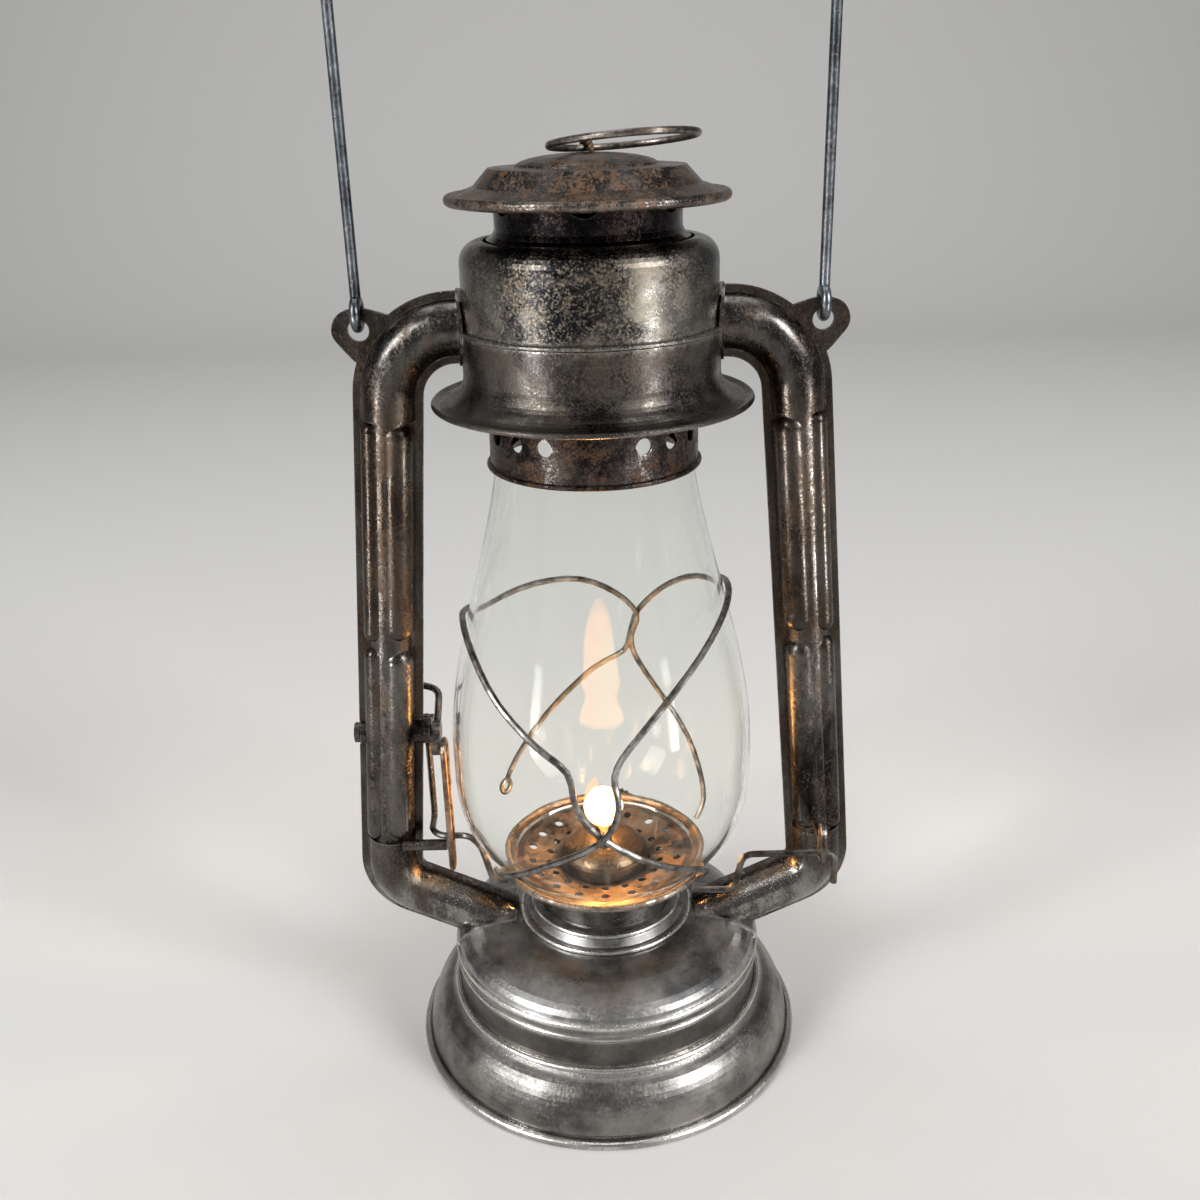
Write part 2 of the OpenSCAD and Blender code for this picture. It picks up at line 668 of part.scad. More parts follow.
// hood
module tube_ports() {
  for (s = [0, 1]) mirror([s, 0, 0]) translate([0, 0, tube_z]) along_x(0)
    cylinder(r = tube_r - sheet, h = far);
}
module hood_skirt() {
  in_r = hood_r + seat_gap;
  flare_z = hood_rim_z + flare_h;
  w = hood_rim_r - skin_r;
  hem = 0.75;
  color("dimgray") difference() {
    rotate_extrude() polygon(concat([[in_r, tube_z + 0.2]],
      arc([skin_r, tube_z - 0.4], 0.7, 0.7, 80, -80, 6),
      arc([hood_rim_r, flare_z], w, flare_h, 180, 256, 9),
      arc([hood_rim_r - hem, hood_rim_z], hem, hem, 120, -190, 10),
      arc([hood_rim_r, flare_z], w + sheet, flare_h + sheet, 256, 180, 9)));
    tube_ports();
    difference() {
      translate([0, 0, tube_z]) along_x(-far) cylinder(r = tube_collar_r + seat_gap, h = 2 * far);
      cylinder(r = skin_r + seat_gap / 2, h = 3 * far);
    }
  }
}
module hood_dome() {
  low = tube_z - 1.4;
  c = [hood_r - hood_bend, hood_z - hood_bend];
  color("dimgray") difference() {
    rotate_extrude() polygon(concat([[hood_r - sheet, low], [hood_r, low]],
      arc(c, hood_bend, hood_bend, 0, 100, 8), arc(c, hood_bend - sheet, hood_bend - sheet, 100, 0, 8)));
    tube_ports();
  }
}
module chimney_guide() {
  color("gray") rotate_extrude() union() {
    translate([chimney_r + run_gap, guide_z]) square([hood_r - sheet - seat_gap - chimney_r - run_gap, 0.8]);
    translate([hood_r - 2 * sheet - seat_gap, guide_z]) square([sheet, 3]);
    translate([chimney_r + run_gap, guide_z]) square([sheet, 2]);
  }
}
spring_r = chimney_r + spring_wire + 1.2;
spring_low = shoulder_z + spring_wire + 0.1;
spring_high = guide_z - spring_wire - 0.1;
turn_steps = 16;
spring_steps = turn_steps * spring_turns;
spring_path = [for (i = [0:spring_steps]) let (a = 360 * i / turn_steps)
  [spring_r * cos(a), spring_r * sin(a), spring_low + (spring_high - spring_low) * i / spring_steps]];
// least gap between neighbouring turns
spring_gap = min([for (i = [0:spring_steps - turn_steps / 2], j = [i + turn_steps / 2:spring_steps])
  norm(spring_path[i] - spring_path[j])]) - 2 * spring_wire;
echo(spring_gap = spring_gap);
module crown_spring() { color("silver") wire(spring_path, spring_wire, false, 6); }

// globe and plate
function blend(t, a, b, da, db) =
  a * (1 + t * t * (2 * t - 3)) + da * t * (1 - t) * (1 - t) + b * t * t * (3 - 2 * t) - db * t * t * (1 - t);
globe_steps = 48;
foot_rise = 1.3;
mouth_fall = -0.12;
foot_h = 2 * plate_roll - sheet + 0.1;
swell_h = globe_belly_h - foot_h;
function globe_r(z) = z < globe_z + foot_h ? globe_foot_r
  : z < belly_z ? blend((z - globe_z - foot_h) / swell_h, globe_foot_r, globe_belly_r, foot_rise * swell_h, 0)
  : blend((z - belly_z) / (globe_h - globe_belly_h), globe_belly_r, globe_mouth_r, 0,
      mouth_fall * (globe_h - globe_belly_h));
function globe_line(shrink) = concat([[globe_foot_r - shrink, globe_z]],
  [for (i = [0:globe_steps]) let (z = globe_z + foot_h + (globe_h - foot_h) * i / globe_steps)
    [globe_r(z) - shrink, z]]);
module globe() {
  color("azure", 0.3) rotate_extrude() polygon(concat(globe_line(0), reversed(globe_line(glass))));
}
module globe_plate() {
  color("sienna") difference() {
    rotate_extrude() union() {
      translate([rim_r, rim_z]) circle(plate_roll);
      translate([seat_in_r, plate_z - sheet]) square([rim_r - seat_in_r, sheet]);
      polygon([[seat_in_r + eps, plate_z], [dish_in_r, plate_z - dish_drop],
        [dish_in_r, plate_z - dish_drop - sheet], [seat_in_r + eps, plate_z - sheet]]);
    }
    for (i = [0:plate_holes - 1]) rotate([0, 0, (i + 0.5) * 360 / plate_holes]) {
      translate([dish_in_r + 3.4, 0, plate_z - 10]) cylinder(r = 1.1, h = 20);
      translate([seat_in_r - 2.6, 0, plate_z - 10]) cylinder(r = 1.3, h = 20);
    }
  }
}

// guard wires: angle round the globe, height in percent of the globe, wire radii of extra room to the glass
right_guard = [
  [-33, 1.4, 2.2], [-39, 6.2, 0.4], [-52, 11.7, 0], [-71, 17.9, 0], [-91, 26.5, 0], [-99, 33.5, 0],
  [-102, 41.3, 0], [-113, 46, 0], [-130, 52.6, 0], [-150, 60, 0], [-170, 63.5, 0], [-190, 61.9, 0],
  [-212, 59.2, 0], [-240, 59.6, 0], [-262, 58.8, 0], [-278, 54.5, 0], [-287, 48.7, 0], [-284, 42.1, 0],
  [-285, 36.6, 0], [-293, 28.8, 0], [-306, 19.5, 0], [-320, 10.9, 0], [-332, 5.5, 0.6], [-336, 1.4, 2.2]
];
left_guard = [
  [-158, 2.3, 2.9], [-146, 5.5, 0.6], [-127, 11.7, 0], [-110, 18.7, 0.8], [-91, 26.5, 2.3],
  [-85, 33.5, 0.8], [-86, 40.5, 0], [-80, 46.7, 0], [-62, 56.1, 0], [-40, 63.5, 0], [-20, 67.4, 0],
  [0, 68.5, 0], [20, 66.6, 0], [42, 63.1, 0], [60, 57.2, 1.1], [73, 49.1, 2.3], [77, 42.1, 2.3],
  [80, 36.6, 2.1], [92, 32.3, 0.6], [108, 24.1, 0], [126, 14.8, 0], [142, 9, 0]
];
function round_globe(p) =
  let (z = globe_z + globe_h * p[1] / 100, r = globe_r(z) + guard_gap + guard_wire * (1 + p[2]))
  [r * cos(p[0]), r * sin(p[0]), z];
function guard_path(p) = [for (q = spline(p, 3)) round_globe(q)];
module guard_wire_right() { color("dimgray") wire(guard_path(right_guard), guard_wire); }
module guard_wire_left() {
  last = left_guard[len(left_guard) - 1];
  eye_r = guard_wire * 2.3;
  color("dimgray") {
    wire(guard_path(left_guard), guard_wire);
    translate(round_globe(last)) rotate([0, 0, last[0] + 90]) translate([eye_r * 0.4, 0, -eye_r])
      rotate([90, 0, 0]) torus(eye_r, guard_wire * 0.9);
  }
}

// globe lift
module lever_axis() { translate([0, 0, lever_z]) children(); }
module lever_bushing() {
  color("dimgray") difference() {
    union() {
      lever_axis() along_x(-bush_out) cylinder(r = bush_r, h = bush_out - bush_in);
      translate([-rod_x - 2, 0, lever_z - 1.5]) cube([rod_x + 2 - bush_in, rod_y + arm_wire + 1.4, 3]);
    }
    lever_axis() along_x(-far) cylinder(r = lever_shaft_r + shaft_gap, h = far);
    translate([-rod_x, rod_y, 0]) cylinder(r = arm_wire + shaft_gap, h = 2 * far);
  }
}
module lift_lever() {
  pin = [-crank_r * cos(crank_angle), -crank_r * sin(crank_angle)];
  reach = [cos(crank_angle), sin(crank_angle)];
  mid_x = crank_x + crank_t / 2;
  bar_r = 1.1;
  color("dimgray") {
    lever_axis() along_x(-bush_out - 1.6) cylinder(r = lever_shaft_r, h = bush_out + 1.6 - crank_x);
    lever_axis() along_x(-bush_out - 1.9) cylinder(r = bush_r - 0.8, h = 1.9 - run_gap);
    lever_axis() along_x(-crank_x - crank_t) cylinder(r = 3, h = crank_t);
    lever_axis() along_x(-crank_x - crank_t) linear_extrude(crank_t) rotate(crank_angle)
      translate([0, -crank_r]) translate([-2.2, 0]) square([4.4, crank_r]);
    translate([0, pin[0], lever_z + pin[1]]) along_x(-crank_x - crank_t) {
      cylinder(r = 2.2, h = crank_t);
      cylinder(r = pin_r, h = crank_t + run_gap + 2 * link_wire + 0.2);
    }
    wire(rounded([for (p = [[0, 0.04], [0, 0.58], [0.35, 0.65], [0.88, 0.83], [1, 1]])
      let (d = p[1] * thumb_reach)
      [-mid_x - p[0] * thumb_side, d * reach[0], lever_z + d * reach[1]]], thumb_reach / 6), bar_r);
  }
}
module lift_link() {
  top_r = pin_r + run_gap + link_wire + 0.9;
  low_r = arm_wire + link_wire + 0.25;
  top_y = -crank_r * (1 + cos(crank_angle)) / 2;
  top_z = lever_z - crank_r * sin(crank_angle) + pin_r + run_gap + link_wire - top_r;
  low_z = arm_z - 9;
  color("peru") wire(concat(
    [for (i = [0:8]) let (t = 22.5 * i) [-link_x, top_y + top_r * cos(t), top_z + top_r * sin(t)]],
    [for (i = [0:6]) let (t = 180 + 30 * i) [-link_x, link_y + low_r * cos(t), low_z + low_r * sin(t)]]),
    link_wire, true);
}
rim_out = rim_r + 1;
under_rim = rim_z - plate_roll - arm_wire - 0.1;
module left_arm() {
  a = -158;
  color("dimgray") wire(rounded([
    [rim_out * cos(a), rim_out * sin(a), under_rim], [-rim_out - 1.8, -12.6, under_rim],
    [-rim_out - 5, -12, arm_z], [-link_x + 5.5, link_y, arm_z], [-link_x - 3, link_y, arm_z],
    [-rod_x, link_y + 3.5, arm_z], [-rod_x, rod_y, arm_z], [-rod_x, rod_y, lever_z + 2.5]], 3), arm_wire);
}
module right_arm() {
  a = -37;
  color("dimgray") wire(rounded([
    [rim_out * cos(a), rim_out * sin(a), under_rim], [rim_out + 6 * arm_wire, hook_y, under_rim],
    [rim_out + 8.8 * arm_wire, hook_y, arm_z], [hook_x, hook_y, arm_z],
    [hook_x + 0.4, hook_y, arm_z - arm_rise]], 3), arm_wire);
}
module right_eye() {
  w = 0.9;
  half = arm_wire + run_gap + w;
  low = arm_z - arm_wire - run_gap - w;
  high = arm_z + lift_travel + arm_wire + run_gap + w;
  color("dimgray") difference() {
    union() {
      wire([for (end = [[0, high - half], [180, low + half]], i = [0:8]) let (t = end[0] + 22.5 * i)
        [eye_x, hook_y + half * cos(t), end[1] + half * sin(t)]], w, true);
      translate([eye_x, 0, low + 2 * half]) rotate([90, 0, 0]) cylinder(r = w, h = arm_front - half);
    }
    leg_core(tube_r + seat_gap);
  }
}
module leg_core(r) {
  translate([leg_x, 0, leg_z]) rotate([0, 180 - lean, 0]) cylinder(r = r, h = leg_len);
}
module arm_rest() {
  top = arm_z - arm_wire - run_gap;
  rest_r = 1.7;
  color("dimgray") difference() {
    translate([0, link_y, top - rest_r]) along_x(4 - leg_at(top))
      cylinder(r = rest_r, h = leg_at(top) - 4 - crank_x);
    mirror([1, 0, 0]) leg_core(tube_r + seat_gap);
  }
}

// crown
module crown_collar() {
  low = seat_z - crown_lap;
  color("sienna") difference() {
    rotate_extrude() union() {
      translate([crown_r + 0.3, low + crown_roll]) circle(crown_roll);
      translate([crown_r - sheet, low + crown_roll]) square([sheet, shoulder_z - low - crown_roll]);
      translate([chimney_r + seat_gap, shoulder_z - sheet]) square([crown_r - chimney_r - seat_gap, sheet]);
    }
    for (q = [1, 3, 5, 7], k = [-1, 0, 1]) rotate([0, 0, 45 * q + hole_step * k])
      translate([crown_r, 0, seat_z + 0.4 * crown_h]) rotate([0, 90, 0])
      cylinder(r = crown_hole_r, h = crown_hole_r * 3, center = true);
  }
}
module globe_seat() {
  color("gray") translate([0, 0, seat_z]) difference() {
    cylinder(r = crown_r - sheet - seat_gap, h = sheet);
    translate([0, 0, -1]) cylinder(r = globe_mouth_r - glass - 2.6, h = 3);
  }
}
module chimney() {
  low = shoulder_z - sheet;
  high = ledge_z - sheet - 2 * seat_gap;
  flare_z = hood_z + flare_over;
  color("sienna") difference() {
    rotate_extrude() polygon([[chimney_r - sheet, low], [chimney_r, low], [chimney_r, flare_z],
      [chimney_r + 2.1, flare_z], [chimney_r + 2.1, flare_z + 0.7], [chimney_r + 0.7, flare_z + 1.6],
      [chimney_r, flare_z + 3], [chimney_r, high], [chimney_r - sheet, high]]);
    for (i = [0:5]) rotate([0, 0, 60 * i + vent_dir]) translate([0, 0, high - 0.9 - vent_r])
      along_x(chimney_r / 2) cylinder(r = vent_r, h = chimney_r);
  }
}
function cap_line(drop) = concat(
  [[cap_r - cap_roll, cap_z + 1 - drop], [cap_r - 7.4, cap_z + 3 - drop], [chimney_r + 1, ledge_z - drop],
    [cap_dome_r + 1.6, ledge_z + 0.2 - drop]],
  arc([0, ledge_z + 0.2 - drop], cap_dome_r, dome_top_rise - 0.2, 0, 90, 8));
module cap() {
  color("sienna") rotate_extrude() union() {
    polygon(concat(cap_line(0), reversed(cap_line(sheet + seat_gap))));
    translate([cap_r - cap_roll, cap_z]) circle(cap_roll);
  }
}
staple_r = ring_wire + 1.75;
staple_wire = 0.75;
ring_z = cap_top + ring_wire + 0.1;
module ring_staple() {
  color("sienna") rotate([0, 0, ring_dir]) translate([0, 0, cap_top + seat_gap]) rotate([90, 0, 0])
    rotate_extrude(angle = 180) translate([staple_r, 0]) circle(staple_wire);
}
module lift_ring() {
  color("gray") translate([0, 0, ring_z]) rotate([0, 0, ring_dir]) rotate([0, -ring_tilt, 0])
    translate([ring_r, 0, 0]) torus(ring_r, ring_wire);
}

// bail
module bail() {
  arch_z = eye_z + bail_leg;
  color("slategray") {
    translate([0, 0, arch_z]) rotate([90, 0, 0]) rotate_extrude(angle = 180)
      translate([bail_x, 0]) circle(bail_wire);
    for (s = [-1, 1]) translate([s * bail_x, 0, eye_z]) {
      rotate([0, 90, 0]) torus(bail_eye_r, bail_wire);
      translate([0, 0, bail_eye_r]) cylinder(r = bail_wire, h = bail_leg - bail_eye_r);
    }
  }
}

base_skirt();
tank_cup();
tank_dome();
burner_collar();
filler_neck();
filler_cap();
filler_gasket();
left_tube_front();
left_tube_rear();
right_tube_front();
right_tube_rear();
left_tube_saddle();
right_tube_saddle();
left_tube_collar();
right_tube_collar();
hood_skirt();
hood_dome();
chimney_guide();
crown_spring();
burner_base();
wick_tube();
burner_cone();
wick();
wick_shaft();
wick_knob();
lever_bushing();
lift_lever();
lift_link();
left_arm();
right_arm();
right_eye();
arm_rest();
globe_plate();
globe();
guard_wire_right();
guard_wire_left();
crown_collar();
globe_seat();
chimney();
cap();
ring_staple();
lift_ring();
bail();
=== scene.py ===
import bpy
import bmesh
import math
from mathutils import Matrix, Vector, noise


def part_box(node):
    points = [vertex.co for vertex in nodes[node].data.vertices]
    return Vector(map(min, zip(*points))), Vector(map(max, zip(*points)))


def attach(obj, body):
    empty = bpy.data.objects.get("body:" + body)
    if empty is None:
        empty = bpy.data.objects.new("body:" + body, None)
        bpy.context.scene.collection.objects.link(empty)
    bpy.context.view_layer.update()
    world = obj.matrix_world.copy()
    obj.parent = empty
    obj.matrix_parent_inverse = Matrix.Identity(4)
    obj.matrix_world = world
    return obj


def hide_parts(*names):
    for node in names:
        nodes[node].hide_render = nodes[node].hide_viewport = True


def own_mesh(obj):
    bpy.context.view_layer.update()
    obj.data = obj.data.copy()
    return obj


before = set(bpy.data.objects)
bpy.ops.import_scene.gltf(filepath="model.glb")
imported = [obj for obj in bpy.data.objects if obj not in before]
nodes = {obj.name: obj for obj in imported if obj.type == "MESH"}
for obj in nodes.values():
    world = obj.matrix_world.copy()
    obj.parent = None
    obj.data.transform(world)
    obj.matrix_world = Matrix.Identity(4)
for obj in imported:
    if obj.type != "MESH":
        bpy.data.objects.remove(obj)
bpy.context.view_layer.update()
print("lantern frame loaded:", len(nodes), "nodes")

scene = bpy.context.scene
scene.view_settings.view_transform = "Standard"

# camera
viewPoint = {
    "place": (0.0, -0.32425, 0.27808),
    "tiltDown": 22.2,
    "turnRight": 0.10,
    "roll": -1.45,
    "lens": 36.77,
    "sensor": 36.0,
    "nearest": 0.01,
}


def placeCamera(v):
    data = bpy.data.cameras.new("lanternCamera")
    data.sensor_width = v["sensor"]
    data.lens = v["lens"]
    data.clip_start = v["nearest"]
    camera = bpy.data.objects.new("lanternCamera", data)
    scene.collection.objects.link(camera)
    turn = Matrix.Rotation(math.radians(-v["turnRight"]), 4, "Z")
    tilt = Matrix.Rotation(math.radians(90 - v["tiltDown"]), 4, "X")
    roll = Matrix.Rotation(math.radians(v["roll"]), 4, "Z")
    camera.matrix_world = Matrix.Translation(v["place"]) @ turn @ tilt @ roll
    scene.camera = camera


placeCamera(viewPoint)
print("camera placed")


# shader building blocks
def startFinish(name):
    mat = bpy.data.materials.new(name)
    mat.use_nodes = True
    tree = mat.node_tree
    tree.nodes.clear()
    out = tree.nodes.new("ShaderNodeOutputMaterial")
    skin = tree.nodes.new("ShaderNodeBsdfPrincipled")
    tree.links.new(skin.outputs["BSDF"], out.inputs["Surface"])
    return mat, tree, skin


def feed(tree, socket, value):
    if isinstance(value, bpy.types.NodeSocket):
        tree.links.new(value, socket)
    elif isinstance(value, (tuple, list)) and len(value) == 3 and socket.type == "RGBA":
        socket.default_value = (*value, 1.0)
    else:
        socket.default_value = value


def mathStep(tree, kind, a, b=None):
    n = tree.nodes.new("ShaderNodeMath")
    n.operation = kind
    feed(tree, n.inputs[0], a)
    if b is not None:
        feed(tree, n.inputs[1], b)
    return n.outputs[0]


def plus(tree, a, b):
    return mathStep(tree, "ADD", a, b)


def minus(tree, a, b):
    return mathStep(tree, "SUBTRACT", a, b)


def times(tree, a, b):
    return mathStep(tree, "MULTIPLY", a, b)


def fade(tree, value, start, end, low=0.0, high=1.0):
    n = tree.nodes.new("ShaderNodeMapRange")
    n.interpolation_type = "SMOOTHSTEP"
    settings = {"Value": value, "From Min": start, "From Max": end, "To Min": low, "To Max": high}
    for key, v in settings.items():
        feed(tree, n.inputs[key], v)
    return n.outputs["Result"]


def mixColour(tree, share, a, b):
    n = tree.nodes.new("ShaderNodeMix")
    n.data_type = "RGBA"
    feed(tree, n.inputs[0], share)
    feed(tree, n.inputs[6], a)
    feed(tree, n.inputs[7], b)
    return n.outputs[2]


def grain(tree, coord, size, detail, rough, stretch=(1, 1, 1), shift=(0, 0, 0)):
    place = tree.nodes.new("ShaderNodeMapping")
    place.inputs["Location"].default_value = shift
    place.inputs["Scale"].default_value = stretch
    tree.links.new(coord, place.inputs["Vector"])
    n = tree.nodes.new("ShaderNodeTexNoise")
    n.inputs["Scale"].default_value = 1.0 / size
    n.inputs["Detail"].default_value = detail
    n.inputs["Roughness"].default_value = rough
    tree.links.new(place.outputs["Vector"], n.inputs["Vector"])
    return n.outputs["Fac"]


def bumpFrom(tree, height, depth, strength=1.0, under=None):
    n = tree.nodes.new("ShaderNodeBump")
    n.inputs["Distance"].default_value = depth
    n.inputs["Strength"].default_value = strength
    tree.links.new(height, n.inputs["Height"])
    if under is not None:
        tree.links.new(under, n.inputs["Normal"])
    return n.outputs["Normal"]


def objectCoord(tree):
    return tree.nodes.new("ShaderNodeTexCoord").outputs["Object"]


# height, distance from the lantern's axis, and distance to either side of its middle plane
def measures(tree, coord):
    split = tree.nodes.new("ShaderNodeSeparateXYZ")
    tree.links.new(coord, split.inputs[0])
    x, y, z = split.outputs
    r = mathStep(tree, "SQRT", plus(tree, times(tree, x, x), times(tree, y, y)))
    return {"z": z, "r": r, "absY": mathStep(tree, "ABSOLUTE", y)}


# each soft band is (measure, start, end, softness, strength); one with a single edge has None for the other
def bandMask(tree, where, bands):
    total = None
    for key, start, end, soft, strength in bands:
        v = where[key]
        one = None
        if start is not None:
            one = fade(tree, v, start - soft, start + soft, 0.0, strength)
        if end is not None:
            two = fade(tree, v, end - soft, end + soft, strength, 0.0)
            one = two if one is None else mathStep(tree, "MINIMUM", one, two)
        total = one if total is None else mathStep(tree, "MAXIMUM", total, one)
    return total


edgeWear = {"samples": 4, "turn": (0.99, 0.82)}


# rubbed metal shows at the sharp edges, found by comparing the face with its rounded-off normal
def edgeMask(tree, radius):
    soft = tree.nodes.new("ShaderNodeBevel")
    soft.samples = edgeWear["samples"]
    soft.inputs["Radius"].default_value = radius
    flat = tree.nodes.new("ShaderNodeNewGeometry").outputs["Normal"]
    n = tree.nodes.new("ShaderNodeVectorMath")
    n.operation = "DOT_PRODUCT"
    tree.links.new(soft.outputs[0], n.inputs[0])
    tree.links.new(flat, n.inputs[1])
    return fade(tree, n.outputs["Value"], *edgeWear["turn"])


# noise that all the metals share, at each look's own sizes
metalGrain = {
    "cloud": {"detail": 6.0, "rough": 0.66},
    "patch": {"detail": 6.0, "rough": 0.74, "shift": (0.31, 0.17, 0.05)},
    "fleck": {"detail": 3.0, "rough": 0.65, "shift": (0.7, 0.2, 0.4)},
    "speck": {"detail": 2.0, "rough": 0.6, "shift": (0.2, 0.9, 0.6)},
    "dent": {"detail": 2.0, "rough": 0.4, "shift": (0.11, 0.4, 0.9)},
}
# wear of any metal whose look doesn't say otherwise
metalWear = {
    "stretch": (1, 1, 1), "worn": [], "sootAndPaintedReflection": [],
    "speckSize": 0.45, "fleckMiddle": 0.5, "raggedness": 0.55, "fleckEdges": (0.50, 0.64),
    "pitEdges": (0.58, 0.70), "pitColour": (0.016, 0.014, 0.013), "pitRough": 0.25,
    "roughEdges": (0.3, 0.7), "stainRough": 0.2,
    "rubEdges": (0.62, 0.38), "rubLow": 0.15, "rubPolish": 0.1,
    "sootAndPaintedReflectionEdges": (0.36, 0.60), "sootAndPaintedReflectionLow": 0.7, "sootAndPaintedReflectionRough": 0.2,
}


def wornMetal(name, look):
    w = dict(metalWear, **look)
    mat, tree, skin = startFinish(name)
    coord = objectCoord(tree)
    where = measures(tree, coord)
    cloud = grain(tree, coord, w["cloud"], stretch=w["stretch"], **metalGrain["cloud"])
    patch = grain(tree, coord, w["patch"], stretch=w["stretch"], **metalGrain["patch"])
    fleck = grain(tree, coord, w["fleck"], **metalGrain["fleck"])
    speck = grain(tree, coord, w["fleck"] * w["speckSize"], **metalGrain["speck"])
    dent = grain(tree, coord, w["dent"], **metalGrain["dent"])
    ragged = plus(tree, patch, times(tree, minus(tree, fleck, w["fleckMiddle"]), w["raggedness"]))
    rough = fade(tree, ragged, *w["roughEdges"], *w["rough"])
    # bare metal, pale flecks, rust and pits
    colour = mixColour(tree, fade(tree, cloud, *w["cloudEdges"]), w["dark"], w["steel"])
    pale = times(tree, fade(tree, fleck, *w["fleckEdges"]), fade(tree, patch, *w["paleEdges"]))
    colour = mixColour(tree, times(tree, pale, w["fleckShare"]), colour, w["pale"])
    stain = fade(tree, ragged, *w["rustEdges"], 0.0, w["rustShare"])
    colour = mixColour(tree, stain, colour, w["rust"])
    pits = fade(tree, speck, *w["pitEdges"], 0.0, w["pitShare"])
    colour = mixColour(tree, pits, colour, w["pitColour"])
    # rubbed edges and bands
    rub = times(tree, edgeMask(tree, w["edge"]), w["edgeShare"])
    if w["worn"]:
        rub = mathStep(tree, "MAXIMUM", rub, bandMask(tree, where, w["worn"]))
    rub = times(tree, rub, fade(tree, ragged, *w["rubEdges"], w["rubLow"], 1.0))
    colour = mixColour(tree, rub, colour, w["bright"])
    rough = minus(tree, rough, times(tree, rub, w["rubPolish"]))
    # dark bands: soot on the burner, darker brown on the tubes and hood, and on the skirt's tank cup a
    # painted reflection of a dark brown surface below
    if w["sootAndPaintedReflection"]:
        black = bandMask(tree, where, w["sootAndPaintedReflection"])
        black = times(tree, black, fade(tree, ragged, *w["sootAndPaintedReflectionEdges"], w["sootAndPaintedReflectionLow"], 1.0))
        colour = mixColour(tree, black, colour, w["sootAndPaintedReflectionColour"])
        rough = plus(tree, rough, times(tree, black, w["sootAndPaintedReflectionRough"]))
    rough = plus(tree, rough, times(tree, stain, w["stainRough"]))
    rough = plus(tree, rough, times(tree, pits, w["pitRough"]))
    feed(tree, skin.inputs["Base Color"], colour)
    feed(tree, skin.inputs["Metallic"], 1.0)
    feed(tree, skin.inputs["Roughness"], rough)
    relief = minus(tree, plus(tree, fleck, stain), pits)
    dents = bumpFrom(tree, dent, w["dentDepth"])
    feed(tree, skin.inputs["Normal"], bumpFrom(tree, relief, w["pitDepth"], under=dents))
    return mat


# fount, with its skirt, saddles, burner collar and burner base
fountLook = {
    "dark": (0.098, 0.097, 0.097), "steel": (0.385, 0.380, 0.374),
    "pale": (0.64, 0.625, 0.59), "bright": (0.86, 0.84, 0.80),
    "rust": (0.07, 0.05, 0.038), "rustShare": 0.6, "rustEdges": (0.54, 0.74), "paleEdges": (0.44, 0.62),
    "cloud": 0.022, "cloudEdges": (0.32, 0.69), "patch": 0.013,
    "fleck": 0.0008, "fleckShare": 0.4, "pitShare": 0.25, "pitDepth": 0.000035,
    "rough": (0.27, 0.40), "rubLow": 0.45, "dent": 0.024, "dentDepth": 0.00040,
    "edge": 0.0008, "edgeShare": 0.75,
    "worn": [("z", 0.0318, 0.0342, 0.0005, 0.9), ("z", 0.0278, 0.0300, 0.0005, 0.5),
             ("z", 0.0172, 0.0195, 0.0005, 0.85), ("r", 0.0578, None, 0.0006, 0.6)],
}
# skirt and tank cup: darker and browner than the fount, with a darker band round the cup wall; this tone and
# band are painted reflection of a brown surface below
skirtPaintedReflectionLook = dict(
    fountLook, dark=(0.082, 0.078, 0.074), steel=(0.325, 0.311, 0.294), pale=(0.60, 0.57, 0.52),
    sootAndPaintedReflection=[("z", 0.0202, 0.0272, 0.0008, 0.72)], sootAndPaintedReflectionColour=(0.050, 0.044, 0.039), sootAndPaintedReflectionLow=0.7, sootAndPaintedReflectionRough=0.04)
saddleLook = dict(fountLook, cloud=0.006, patch=0.005, dent=0.005, dentDepth=0.0007, edgeShare=0.9)
collarLook = dict(
    fountLook, worn=[("r", 0.0258, None, 0.0005, 0.7), ("z", 0.0450, 0.0466, 0.0004, 0.7)])
# burner base: the fount's steel darkened, a painted shade under the globe plate's rim
shadedBaseLook = dict(
    fountLook, dark=(0.030, 0.028, 0.026), steel=(0.205, 0.192, 0.177), rust=(0.07, 0.048, 0.03), worn=[])

# side tubes, brown along the seam and in their upper length
tubeLook = {
    "dark": (0.012, 0.011, 0.011), "steel": (0.128, 0.120, 0.110),
    "pale": (0.37, 0.315, 0.245), "bright": (0.70, 0.67, 0.62),
    "rust": (0.070, 0.042, 0.026), "rustShare": 0.65, "rustEdges": (0.50, 0.70), "paleEdges": (0.44, 0.64),
    "cloud": 0.013, "cloudEdges": (0.36, 0.68), "patch": 0.008, "stretch": (1, 1, 0.4),
    "fleck": 0.0008, "fleckShare": 0.5, "pitShare": 0.65, "pitDepth": 0.000035,
    "rough": (0.16, 0.32), "dent": 0.012, "dentDepth": 0.00035,
    "edge": 0.0007, "edgeShare": 0.45,
    "worn": [("z", None, 0.056, 0.009, 0.38)],
    "sootAndPaintedReflection": [("absY", None, 0.0011, 0.0004, 0.7), ("z", 0.132, 0.208, 0.008, 0.7)],
    "sootAndPaintedReflectionColour": (0.050, 0.035, 0.025), "sootAndPaintedReflectionLow": 0.45, "sootAndPaintedReflectionRough": 0.02,
}

